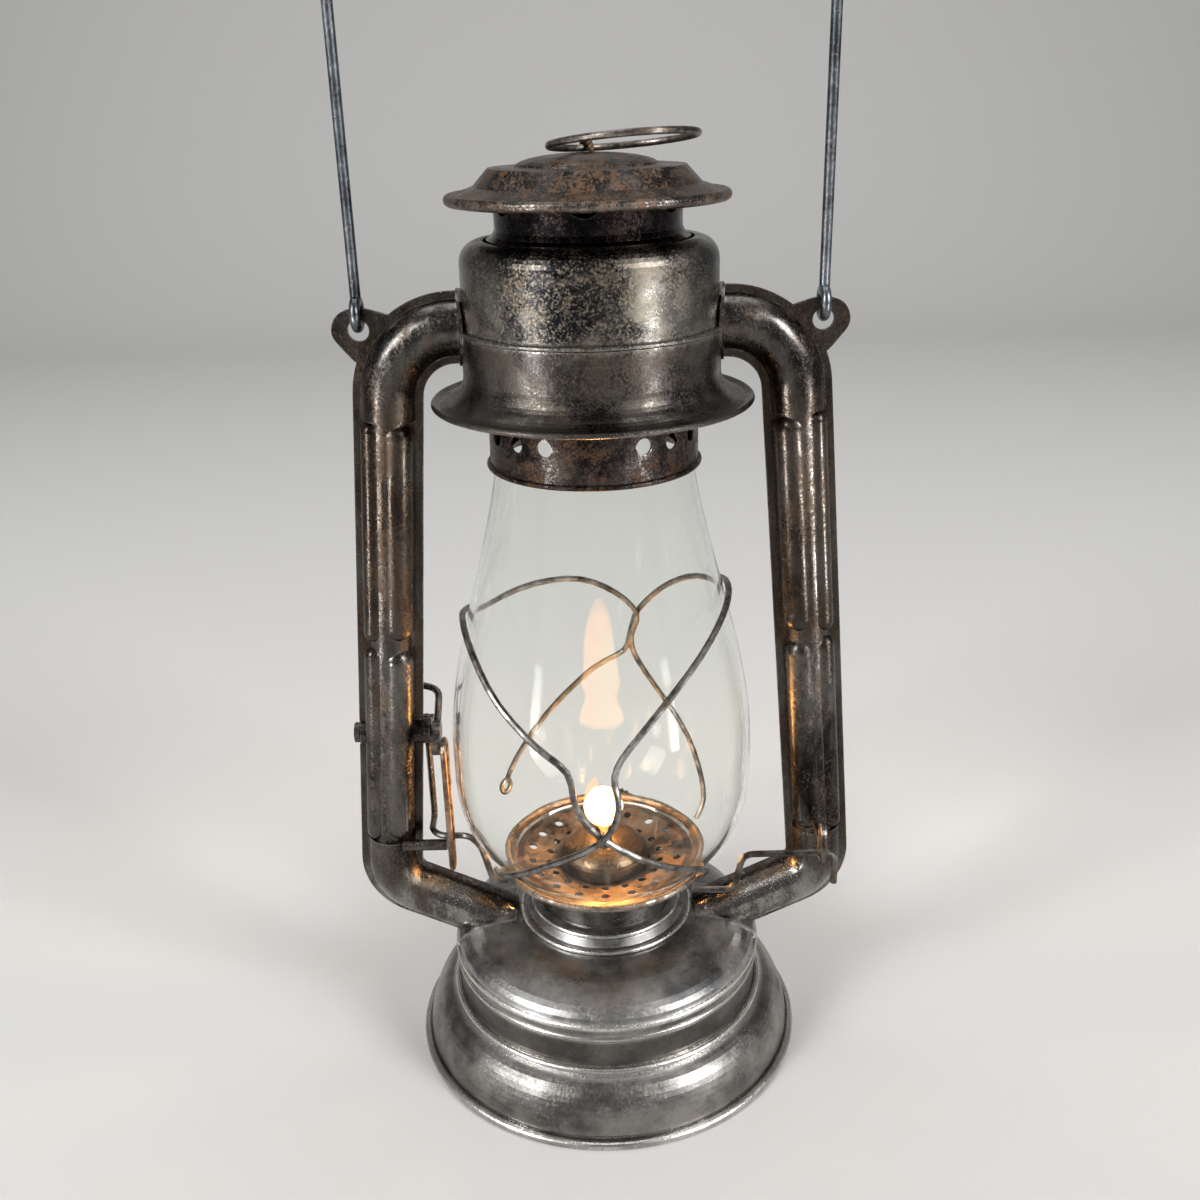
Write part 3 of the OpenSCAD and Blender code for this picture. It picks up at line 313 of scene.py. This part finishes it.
# hood, darker towards its rim
hoodLook = {
    "dark": (0.015, 0.016, 0.019), "steel": (0.190, 0.177, 0.158),
    "pale": (0.46, 0.40, 0.31), "bright": (0.66, 0.63, 0.58),
    "rust": (0.16, 0.125, 0.085), "rustShare": 0.6, "rustEdges": (0.48, 0.70), "paleEdges": (0.36, 0.60),
    "cloud": 0.020, "cloudEdges": (0.40, 0.64), "patch": 0.012,
    "fleck": 0.00065, "fleckShare": 0.55, "pitShare": 0.6, "pitDepth": 0.00003,
    "rough": (0.20, 0.36), "dent": 0.018, "dentDepth": 0.00035,
    "edge": 0.0006, "edgeShare": 0.35,
    "worn": [("z", 0.2225, 0.2246, 0.0006, 0.22), ("r", 0.0424, None, 0.0004, 0.3)],
    "sootAndPaintedReflection": [("z", None, 0.2055, 0.0035, 0.85), ("z", None, 0.2222, 0.0010, 0.8)],
    "sootAndPaintedReflectionColour": (0.050, 0.041, 0.034), "sootAndPaintedReflectionLow": 0.45, "sootAndPaintedReflectionRough": 0.08,
}

# what the crown's pieces share, then the colours of its cap, collar band and chimney
crownLook = {
    "bright": (0.42, 0.37, 0.33), "rustShare": 0.75, "rustEdges": (0.48, 0.63), "paleEdges": (0.42, 0.58),
    "cloud": 0.008, "cloudEdges": (0.38, 0.68), "patch": 0.0045,
    "fleck": 0.0007, "fleckShare": 0.5, "pitShare": 0.85, "pitDepth": 0.00008,
    "rough": (0.22, 0.42), "dent": 0.009, "dentDepth": 0.0005,
    "edge": 0.0006, "edgeShare": 0.4,
    "worn": [("r", 0.0360, None, 0.0004, 0.15)],
}
capLook = dict(
    crownLook, dark=(0.026, 0.023, 0.021), steel=(0.128, 0.110, 0.098),
    rust=(0.185, 0.105, 0.060), pale=(0.45, 0.31, 0.20))
bandLook = dict(
    crownLook, dark=(0.010, 0.009, 0.009), steel=(0.050, 0.042, 0.038),
    rust=(0.078, 0.043, 0.026), pale=(0.26, 0.17, 0.11))
chimneyLook = dict(
    crownLook, dark=(0.007, 0.007, 0.008), steel=(0.033, 0.029, 0.029),
    rust=(0.05, 0.028, 0.02), rustShare=0.4, pale=(0.154, 0.109, 0.083), fleckShare=0.25,
    rough=(0.13, 0.26), pitDepth=0.00003, dentDepth=0.0003, worn=[])

# globe plate and burner
plateLook = {
    "dark": (0.036, 0.028, 0.023), "steel": (0.211, 0.169, 0.134),
    "pale": (0.512, 0.41, 0.301), "bright": (0.56, 0.50, 0.43),
    "rust": (0.095, 0.052, 0.030), "rustShare": 0.7, "rustEdges": (0.46, 0.64), "paleEdges": (0.44, 0.60),
    "cloud": 0.009, "cloudEdges": (0.36, 0.64), "patch": 0.007,
    "fleck": 0.0011, "fleckShare": 0.5, "pitShare": 0.6, "pitDepth": 0.00004,
    "rough": (0.27, 0.46), "dent": 0.012, "dentDepth": 0.0002,
    "edge": 0.0005, "edgeShare": 0.5,
    "worn": [("r", 0.0304, None, 0.0004, 0.5)],
}
burnerLook = dict(
    plateLook, dark=(0.030, 0.022, 0.016), steel=(0.173, 0.118, 0.072), pale=(0.384, 0.269, 0.154),
    bright=(0.42, 0.32, 0.2), rust=(0.075, 0.05, 0.033), worn=[],
    sootAndPaintedReflection=[("z", 0.0655, None, 0.0015, 0.8)], sootAndPaintedReflectionColour=(0.02, 0.016, 0.013))

# wires
wireLook = {
    "dark": (0.05, 0.048, 0.046), "steel": (0.282, 0.275, 0.262),
    "pale": (0.538, 0.499, 0.435), "bright": (0.6, 0.59, 0.57),
    "rust": (0.09, 0.052, 0.03), "rustShare": 0.65, "rustEdges": (0.50, 0.66), "paleEdges": (0.44, 0.62),
    "cloud": 0.006, "cloudEdges": (0.36, 0.64), "patch": 0.005,
    "fleck": 0.0009, "fleckShare": 0.5, "pitShare": 0.5, "pitDepth": 0.00003,
    "rough": (0.26, 0.42), "dent": 0.006, "dentDepth": 0.0001,
    "edge": 0.0002, "edgeShare": 0.3,
}
bailLook = dict(
    wireLook, dark=(0.05, 0.055, 0.062), steel=(0.218, 0.237, 0.262), pale=(0.461, 0.474, 0.486),
    rustShare=0.25, cloud=0.02, patch=0.012)
armLook = dict(
    wireLook, dark=(0.028, 0.026, 0.025), steel=(0.16, 0.154, 0.143), pale=(0.41, 0.371, 0.32))
linkLook = dict(
    wireLook, dark=(0.075, 0.05, 0.036), steel=(0.32, 0.237, 0.177), pale=(0.538, 0.422, 0.32))
ringLook = dict(
    wireLook, dark=(0.07, 0.06, 0.053), steel=(0.307, 0.275, 0.243), pale=(0.64, 0.563, 0.474))

finishes = {
    "fount": wornMetal("fountSteel", fountLook),
    "skirt": wornMetal("skirtSteelPaintedReflection", skirtPaintedReflectionLook),
    "saddle": wornMetal("saddleSolder", saddleLook),
    "tube": wornMetal("tubeSteel", tubeLook),
    "hood": wornMetal("hoodSteel", hoodLook),
    "cap": wornMetal("capRust", capLook),
    "band": wornMetal("collarBand", bandLook),
    "chimney": wornMetal("chimneyBlack", chimneyLook),
    "plate": wornMetal("plateRust", plateLook),
    "burner": wornMetal("burnerBrass", burnerLook),
    "collar": wornMetal("collarSteel", collarLook),
    "base": wornMetal("burnerBase", shadedBaseLook),
    "wire": wornMetal("guardWire", wireLook),
    "arm": wornMetal("armWire", armLook),
    "bail": wornMetal("bailWire", bailLook),
    "link": wornMetal("linkWire", linkLook),
    "ring": wornMetal("ringWire", ringLook),
}

# clear glass with faint ripples, smears and dusty streaks
globeGlass = {
    "tint": (0.975, 0.988, 0.965), "rough": 0.008, "index": 1.19,
    "smear": 0.03, "smearEdges": (0.5, 0.75),
    "smearGrain": {"size": 0.05, "detail": 5.0, "rough": 0.7, "stretch": (1, 1, 0.5)},
    "ripple": 0.0004, "rippleShare": 0.5,
    "rippleGrain": {"size": 0.03, "detail": 2.0, "rough": 0.4},
    "dust": 0.10, "dustColour": (0.62, 0.61, 0.58), "dustEdges": (0.56, 0.70), "veilEdges": (0.40, 0.62),
    "dustGrain": {"size": 0.004, "detail": 4.0, "rough": 0.7,
                  "stretch": (1, 1, 0.12), "shift": (0.2, 0.5, 0.1)},
}


def clearGlass(g):
    mat, tree, skin = startFinish("globeGlass")
    coord = objectCoord(tree)
    smear = grain(tree, coord, **g["smearGrain"])
    streak = grain(tree, coord, **g["dustGrain"])
    ripple = grain(tree, coord, **g["rippleGrain"])
    rough = fade(tree, smear, *g["smearEdges"], g["rough"], g["rough"] + g["smear"])
    feed(tree, skin.inputs["Base Color"], g["tint"])
    feed(tree, skin.inputs["Roughness"], rough)
    feed(tree, skin.inputs["IOR"], g["index"])
    feed(tree, skin.inputs["Transmission Weight"], 1.0)
    feed(tree, skin.inputs["Normal"], bumpFrom(tree, ripple, g["ripple"], g["rippleShare"]))
    dust = tree.nodes.new("ShaderNodeBsdfDiffuse")
    feed(tree, dust.inputs["Color"], g["dustColour"])
    veil = fade(tree, streak, *g["dustEdges"], 0.0, g["dust"])
    veil = times(tree, veil, fade(tree, smear, *g["veilEdges"]))
    both = tree.nodes.new("ShaderNodeMixShader")
    tree.links.new(veil, both.inputs[0])
    tree.links.new(skin.outputs["BSDF"], both.inputs[1])
    tree.links.new(dust.outputs["BSDF"], both.inputs[2])
    tree.links.new(both.outputs[0], tree.nodes["Material Output"].inputs["Surface"])
    return mat


# filler gasket
gasketRubber = {
    "dark": (0.02, 0.019, 0.018), "pale": (0.06, 0.055, 0.05), "rough": 0.75,
    "cloudGrain": {"size": 0.002, "detail": 4.0, "rough": 0.6}, "cloudEdges": (0.4, 0.65), "depth": 0.0001,
}


def rubberRing(g):
    mat, tree, skin = startFinish("gasketRubber")
    cloud = grain(tree, objectCoord(tree), **g["cloudGrain"])
    colour = mixColour(tree, fade(tree, cloud, *g["cloudEdges"]), g["dark"], g["pale"])
    feed(tree, skin.inputs["Base Color"], colour)
    feed(tree, skin.inputs["Roughness"], g["rough"])
    feed(tree, skin.inputs["Normal"], bumpFrom(tree, cloud, g["depth"]))
    return mat


finishes["glass"] = clearGlass(globeGlass)
finishes["gasket"] = rubberRing(gasketRubber)

wearers = {
    "fount": "tank_dome filler_neck filler_cap",
    "skirt": "base_skirt tank_cup",
    "saddle": "left_tube_saddle right_tube_saddle",
    "tube": "left_tube_front left_tube_rear right_tube_front right_tube_rear "
            "left_tube_collar right_tube_collar lever_bushing arm_rest",
    "hood": "hood_skirt hood_dome chimney_guide",
    "cap": "cap ring_staple",
    "band": "crown_collar globe_seat",
    "chimney": "chimney",
    "plate": "globe_plate",
    "burner": "wick_tube burner_cone wick_shaft wick_knob",
    "collar": "burner_collar",
    "base": "burner_base",
    "wire": "crown_spring guard_wire_right guard_wire_left",
    "arm": "lift_lever left_arm right_arm right_eye",
    "bail": "bail",
    "link": "lift_link",
    "ring": "lift_ring",
    "glass": "globe",
    "gasket": "filler_gasket",
}


def dressNodes(table):
    for finish, names in table.items():
        for n in names.split():
            mesh = nodes[n].data
            mesh.materials.clear()
            mesh.materials.append(finishes[finish])


dressNodes(wearers)
print("finishes made:", len(finishes))


# mesh building blocks
def startPiece(name):
    mesh = bpy.data.meshes.new(name)
    piece = bpy.data.objects.new(name, mesh)
    scene.collection.objects.link(piece)
    return piece, mesh, bmesh.new()


def endPiece(bm, mesh, finish):
    bm.to_mesh(mesh)
    bm.free()
    mesh.materials.append(finish)


def around(sides):
    return [2 * math.pi * i / sides for i in range(sides)]


# smooth skin over a row of loops, with a face at each end
def skinLoops(bm, loops, smoothEnds):
    for a, b in zip(loops, loops[1:]):
        for i in range(len(a)):
            j = (i + 1) % len(a)
            bm.faces.new((a[i], a[j], b[j], b[i])).smooth = True
    bm.faces.new(loops[-1]).smooth = smoothEnds
    bm.faces.new(list(reversed(loops[0]))).smooth = smoothEnds


# blown globe, turned finely so that the glass has no facets
globeShape = {
    "foot": 0.0294, "belly": 0.0442, "mouth": 0.0266, "bellyRise": 0.0394, "straight": 0.0017,
    "footSlope": 1.3, "mouthSlope": -0.12, "wall": 0.0018, "rows": 150, "sides": 180, "levelGap": 1e-7,
}


# cubic from a to b that starts with slope da and ends with slope db
def blend(t, a, b, da, db):
    start = a * (1 + t * t * (2 * t - 3)) + da * t * (1 - t) ** 2
    return start + b * t * t * (3 - 2 * t) - db * t * t * (1 - t)


def globeRadius(g, up, height):
    if up <= g["straight"]:
        return g["foot"]
    swell, taper = g["bellyRise"] - g["straight"], height - g["bellyRise"]
    if up < g["bellyRise"]:
        return blend((up - g["straight"]) / swell, g["foot"], g["belly"], g["footSlope"] * swell, 0.0)
    return blend((up - g["bellyRise"]) / taper, g["belly"], g["mouth"], 0.0, g["mouthSlope"] * taper)


def blowGlobe(g):
    low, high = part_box("globe")
    height = high.z - low.z
    rises = [0.0]
    rises += [g["straight"] + (height - g["straight"]) * k / g["rows"] for k in range(g["rows"] + 1)]
    outside = [(globeRadius(g, up, height), low.z + up) for up in rises]
    inside = [(r - g["wall"], z) for r, z in reversed(outside)]
    piece, mesh, bm = startPiece("blownGlobe")
    turn = around(g["sides"])
    loops = []
    for r, z in outside + inside:
        loops.append([bm.verts.new((r * math.cos(a), r * math.sin(a), z)) for a in turn])
    for a, b in zip(loops, loops[1:] + loops[:1]):
        flat = abs(a[0].co.z - b[0].co.z) < g["levelGap"]
        for i in range(g["sides"]):
            j = (i + 1) % g["sides"]
            bm.faces.new((a[i], a[j], b[j], b[i])).smooth = not flat
    endPiece(bm, mesh, finishes["glass"])
    piece.visible_shadow = False
    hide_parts("globe")
    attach(piece, "globe_carriage")


blowGlobe(globeShape)
print("globe blown")

# spring round the chimney in two lengths, the lower carried by the globe carriage and the upper by the frame;
# on the lantern the lifting globe presses the upper and the pulled crown the lower
springCoil = {"turns": 5, "wire": 0.0006, "steps": 28, "sides": 10}
springParts = [
    {"name": "springLower", "from": 0, "to": 3,
     "body": "globe_carriage", "joint": "crown_rise", "travel": 0.0100},
    {"name": "springUpper", "from": 3, "to": 5,
     "body": "frame", "joint": "globe_lift", "travel": 0.0066535},
]


def windSpring(c, part):
    low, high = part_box("crown_spring")
    coilRadius, foot, head = high.x - c["wire"], low.z + c["wire"], high.z - c["wire"]
    pitch = (head - foot) / c["turns"]
    piece, mesh, bm = startPiece(part["name"])
    loops = []
    for k in range(part["from"] * c["steps"], part["to"] * c["steps"] + 1):
        a = 2 * math.pi * k / c["steps"]
        z = foot + pitch * k / c["steps"]
        loop = []
        for b in around(c["sides"]):
            r = coilRadius + c["wire"] * math.cos(b)
            loop.append(bm.verts.new((r * math.cos(a), r * math.sin(a), z + c["wire"] * math.sin(b))))
        loops.append(loop)
    skinLoops(bm, loops, smoothEnds=False)
    bmesh.ops.recalc_face_normals(bm, faces=bm.faces)
    endPiece(bm, mesh, finishes["wire"])
    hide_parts("crown_spring")
    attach(piece, part["body"])
    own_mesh(piece)


for part in springParts:
    windSpring(springCoil, part)
print("spring wound")

# flat cotton wick, ragged and charred at its end
wickCloth = {
    "threads": 9, "pointsPerThread": 4, "rows": 60, "proud": 0.00012,
    "squareness": 8, "edgeThick": 0.25, "ragged": 0.0003, "raggedScale": 9,
    "cotton": (0.72, 0.66, 0.54), "shade": 0.72, "rough": 0.9,
    "burnt": (0.025, 0.02, 0.017), "char": 0.004, "charFrom": 2, "charTo": 0.4, "charWaver": 0.0025,
    "weaveGrain": {"size": 0.0007, "detail": 3.0, "rough": 0.6, "stretch": (1, 1, 0.4)},
    "weaveEdges": (0.35, 0.65), "weaveDepth": 0.0002,
}


def wickCotton(w, top):
    mat, tree, skin = startFinish("wickCotton")
    coord = objectCoord(tree)
    weave = grain(tree, coord, **w["weaveGrain"])
    shaded = tuple(w["shade"] * c for c in w["cotton"])
    cotton = mixColour(tree, fade(tree, weave, *w["weaveEdges"]), shaded, w["cotton"])
    burn = plus(tree, measures(tree, coord)["z"], times(tree, weave, w["charWaver"]))
    charred = fade(tree, burn, top - w["charFrom"] * w["char"], top - w["char"] * w["charTo"])
    feed(tree, skin.inputs["Base Color"], mixColour(tree, charred, cotton, w["burnt"]))
    feed(tree, skin.inputs["Roughness"], w["rough"])
    feed(tree, skin.inputs["Normal"], bumpFrom(tree, weave, w["weaveDepth"]))
    return mat


def weaveWick(w):
    low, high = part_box("wick")
    width, thick = high.y - low.y, high.x - low.x
    piece, mesh, bm = startPiece("wickCloth")
    across = w["threads"] * w["pointsPerThread"]
    outline = [(-1, i) for i in range(across + 1)] + [(1, i) for i in range(across, -1, -1)]
    loops = []
    for k in range(w["rows"] + 1):
        z = low.z + (high.z - low.z) * k / w["rows"]
        loop = []
        for side, i in outline:
            u = i / across
            rib = w["proud"] * math.cos(2 * math.pi * w["threads"] * u + math.pi * (k % 2))
            edge = math.sqrt(max(0.0, 1 - (2 * u - 1) ** w["squareness"]))
            full = w["edgeThick"] + (1 - w["edgeThick"]) * edge
            x = side * (thick / 2 - w["proud"] + rib) * full
            ragged = 0.0
            if k == w["rows"]:
                ragged = w["ragged"] * noise.noise((u * w["raggedScale"], k, side))
            loop.append(bm.verts.new((x + (low.x + high.x) / 2, low.y + width * u, z - abs(ragged))))
        loops.append(loop)
    skinLoops(bm, loops, smoothEnds=True)
    bmesh.ops.recalc_face_normals(bm, faces=bm.faces)
    endPiece(bm, mesh, wickCotton(w, high.z))
    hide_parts("wick")
    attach(piece, "wick")


weaveWick(wickCloth)
print("wick woven")

# flame on the wick: a bright heart inside a thin orange skin, with a slim foot that clears the cone's slot
flameShape = {
    "height": 0.0185, "width": 0.0066, "thick": 0.0054, "gap": 0.0004, "rings": 24, "sides": 24,
    "lowBelly": 0.62, "fullness": 0.8, "taper": 0.35, "slim": 0.45, "slimFrom": 0.10, "slimTo": 0.36,
    "lean": -0.0036, "leanTurn": 2.4, "waver": 0.0006, "waverTurn": 7, "heart": 0.72, "heartLift": 0.3,
}
flameGlow = {
    "black": (0.0, 0.0, 0.0), "heartGlow": 170.0,
    "foot": (1.0, 0.34, 0.06), "middle": (1.0, 0.60, 0.22), "middleAt": 0.45,
    "tip": (1.0, 0.42, 0.10), "tipFrom": 0.6,
    "lick": 0.003, "lickGrain": {"size": 0.006, "detail": 2.0, "rough": 0.5, "stretch": (1, 1, 0.5)},
    "skin": (1.0, 0.42, 0.08), "skinGlow": 2.2, "skinCover": 0.45, "tipCover": 0.3,
}
flameLamp = {"power": 0.16, "colour": (1.0, 0.40, 0.10), "size": 0.006, "rise": 0.45}


def heartGlow(g, top, height):
    mat, tree, skin = startFinish("flameHeart")
    coord = objectCoord(tree)
    lick = grain(tree, coord, **g["lickGrain"])
    rise = plus(tree, measures(tree, coord)["z"], times(tree, lick, g["lick"]))
    colour = mixColour(tree, fade(tree, rise, top, top + height * g["middleAt"]), g["foot"], g["middle"])
    colour = mixColour(tree, fade(tree, rise, top + height * g["tipFrom"], top + height), colour, g["tip"])
    feed(tree, skin.inputs["Base Color"], g["black"])
    feed(tree, skin.inputs["Emission Color"], colour)
    feed(tree, skin.inputs["Emission Strength"], g["heartGlow"])
    return mat


def skinGlow(g, top, height):
    mat, tree, skin = startFinish("flameSkin")
    z = measures(tree, objectCoord(tree))["z"]
    feed(tree, skin.inputs["Base Color"], g["black"])
    feed(tree, skin.inputs["Emission Color"], g["skin"])
    feed(tree, skin.inputs["Emission Strength"], g["skinGlow"])
    feed(tree, skin.inputs["Specular IOR Level"], 0.0)
    cover = fade(tree, z, top, top + height, g["skinCover"], g["tipCover"] * g["skinCover"])
    feed(tree, skin.inputs["Alpha"], cover)
    return mat


def flameSkin(f, name, share, foot, finish):
    piece, mesh, bm = startPiece(name)
    loops = []
    for k in range(1, f["rings"]):
        t = k / f["rings"]
        belly = math.sin(math.pi * min(1.0, t ** f["lowBelly"])) ** f["fullness"]
        swell = share * belly * (1 - f["taper"] * t)
        grown = min(1.0, max(0.0, (t - f["slimFrom"]) / (f["slimTo"] - f["slimFrom"])))
        thick = f["thick"] * (f["slim"] + (1 - f["slim"]) * grown * grown * (3 - 2 * grown))
        bend = f["lean"] * math.sin(f["leanTurn"] * t) * t + f["waver"] * t * math.sin(f["waverTurn"] * t)
        z = foot + f["height"] * (t * share + (1 - share) * f["heartLift"])
        loop = []
        for a in around(f["sides"]):
            x, y = bend + thick * swell * math.cos(a), f["width"] * swell * math.sin(a)
            loop.append(bm.verts.new((x, y, z)))
        loops.append(loop)
    skinLoops(bm, loops, smoothEnds=True)
    endPiece(bm, mesh, finish)
    piece.visible_shadow = False
    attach(piece, "wick")


def lightFlame(f, glow, lamp):
    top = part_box("wick")[1].z
    foot = top + f["gap"]
    flameSkin(f, "flameHeart", f["heart"], foot, heartGlow(glow, top, f["height"]))
    flameSkin(f, "flameSkin", 1.0, foot, skinGlow(glow, top, f["height"]))
    data = bpy.data.lights.new("flameLamp", "POINT")
    data.energy = lamp["power"]
    data.color = lamp["colour"]
    data.shadow_soft_size = lamp["size"]
    light = bpy.data.objects.new("flameLamp", data)
    light.location = (0, 0, top + f["height"] * lamp["rise"])
    scene.collection.objects.link(light)


lightFlame(flameShape, flameGlow, flameLamp)
print("flame lit")

# pale sweep and soft light
studio = {
    "floor": (0.54, 0.535, 0.525), "rough": 0.9, "sky": (0.78, 0.79, 0.8), "skyLevel": 0.22,
    "front": -2.4, "back": 1.2, "bend": 0.5, "bendSteps": 12, "height": 2.4, "half": 3.2,
    "lamps": [
        {"name": "leftStrip", "at": (-1.44, -1.12, 1.15), "aim": (0, 0, 0.25),
         "size": (0.6, 1.0), "power": 17.0, "spread": 120},
        {"name": "rightStrip", "at": (1.51, -1.00, 1.15), "aim": (0, 0, 0.25),
         "size": (0.6, 1.0), "power": 16.0, "spread": 120},
        {"name": "lowLeft", "at": (-0.34, -0.30, 0.08), "aim": (0, 0, 0.22),
         "size": (0.05, 0.14), "power": 0.075, "spread": 45},
        {"name": "lowRight", "at": (0.36, -0.28, 0.08), "aim": (0, 0, 0.22),
         "size": (0.05, 0.14), "power": 0.065, "spread": 45},
        {"name": "topSoftbox", "at": (0.0, 0.35, 1.60), "aim": (0, 0.1, 0.14),
         "size": (1.5, 0.9), "power": 10.0, "spread": 180},
    ],
}


def laySweep(s):
    sweep, mesh, bm = startPiece("paleSweep")
    line = [(s["front"], 0.0)]
    for k in range(s["bendSteps"] + 1):
        a = math.pi / 2 * k / s["bendSteps"]
        line.append((s["back"] + s["bend"] * math.sin(a), s["bend"] * (1 - math.cos(a))))
    line.append((s["back"] + s["bend"], s["height"]))
    rows = [[bm.verts.new((x, y, z)) for x in (-s["half"], s["half"])] for y, z in line]
    for a, b in zip(rows, rows[1:]):
        bm.faces.new((a[0], a[1], b[1], b[0])).smooth = True
    mat, tree, skin = startFinish("paleSweep")
    feed(tree, skin.inputs["Base Color"], s["floor"])
    feed(tree, skin.inputs["Roughness"], s["rough"])
    endPiece(bm, mesh, mat)


def lightStudio(s):
    world = bpy.data.worlds.new("studio")
    scene.world = world
    world.use_nodes = True
    sky = world.node_tree.nodes["Background"]
    sky.inputs["Color"].default_value = (*s["sky"], 1.0)
    sky.inputs["Strength"].default_value = s["skyLevel"]
    for lamp in s["lamps"]:
        data = bpy.data.lights.new(lamp["name"], "AREA")
        data.shape = "RECTANGLE"
        data.size, data.size_y = lamp["size"]
        data.energy = lamp["power"]
        data.spread = math.radians(lamp["spread"])
        light = bpy.data.objects.new(lamp["name"], data)
        light.location = lamp["at"]
        towards = Vector(lamp["aim"]) - Vector(lamp["at"])
        light.rotation_euler = towards.to_track_quat("-Z", "Y").to_euler()
        scene.collection.objects.link(light)


laySweep(studio)
lightStudio(studio)
print("studio lit")
